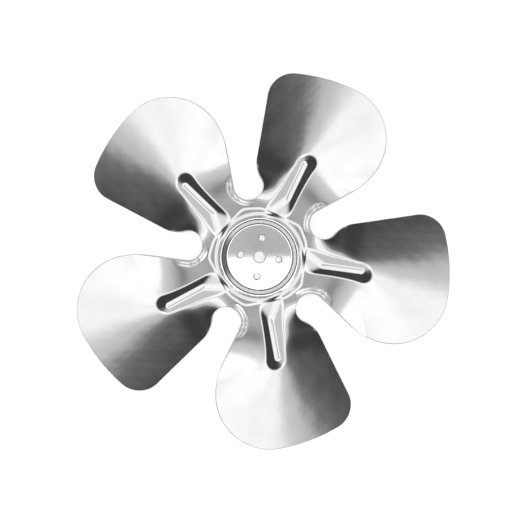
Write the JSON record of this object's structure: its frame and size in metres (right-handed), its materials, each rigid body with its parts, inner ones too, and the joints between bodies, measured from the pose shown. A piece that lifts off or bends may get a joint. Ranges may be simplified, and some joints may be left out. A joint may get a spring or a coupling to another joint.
{
  "type": "axial fan blade",
  "caption": "Pressed aluminium axial fan blade with curved, ribbed blades around a dished hub that bolts to a motor's adaptor.",
  "frame": {"origin": "middle of the bore on the hub disc's rear seating face", "axes": "+Z along the shaft towards the front, +X along the first blade's rib"},
  "size_m": [0.2464, 0.2512, 0.0401],
  "materials": {
    "bright_aluminium": "bright rolled sheet, lightly scuffed"
  },
  "bodies": {
    "root": {"fan_blade": "bright_aluminium"}
  },
  "joints": []
}
